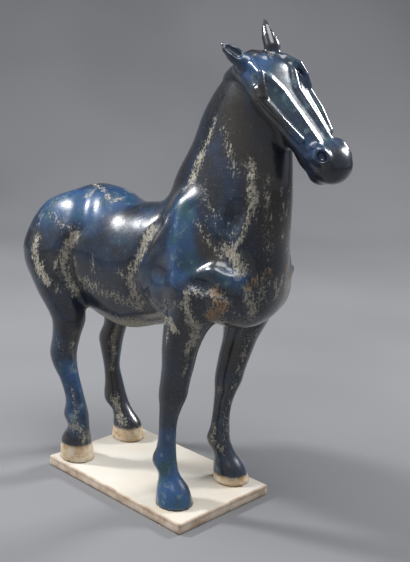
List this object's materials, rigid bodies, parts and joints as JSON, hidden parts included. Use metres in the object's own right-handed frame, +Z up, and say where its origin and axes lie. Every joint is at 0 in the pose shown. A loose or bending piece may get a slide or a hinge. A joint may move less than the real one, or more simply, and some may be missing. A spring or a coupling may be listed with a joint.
{
  "type": "glazed terracotta horse",
  "caption": "Standing saddleless horse in dark blue-glazed terracotta with its head turned to its left, on a bare rectangular clay slab.",
  "frame": {"origin": "centre of the slab's underside", "axes": "+X forward along the slab's length, towards the horse's head; +Y to the horse's left; +Z up"},
  "size_m": [0.4807, 0.16, 0.5958],
  "materials": {
    "blue_glaze": "glossy lead glaze, dark blue, worn in places to the buff body",
    "bare_clay": "matt unglazed earthenware, cream with earth stains"
  },
  "bodies": {
    "root": {"horse": "blue_glaze", "base_slab": "bare_clay"}
  },
  "joints": []
}
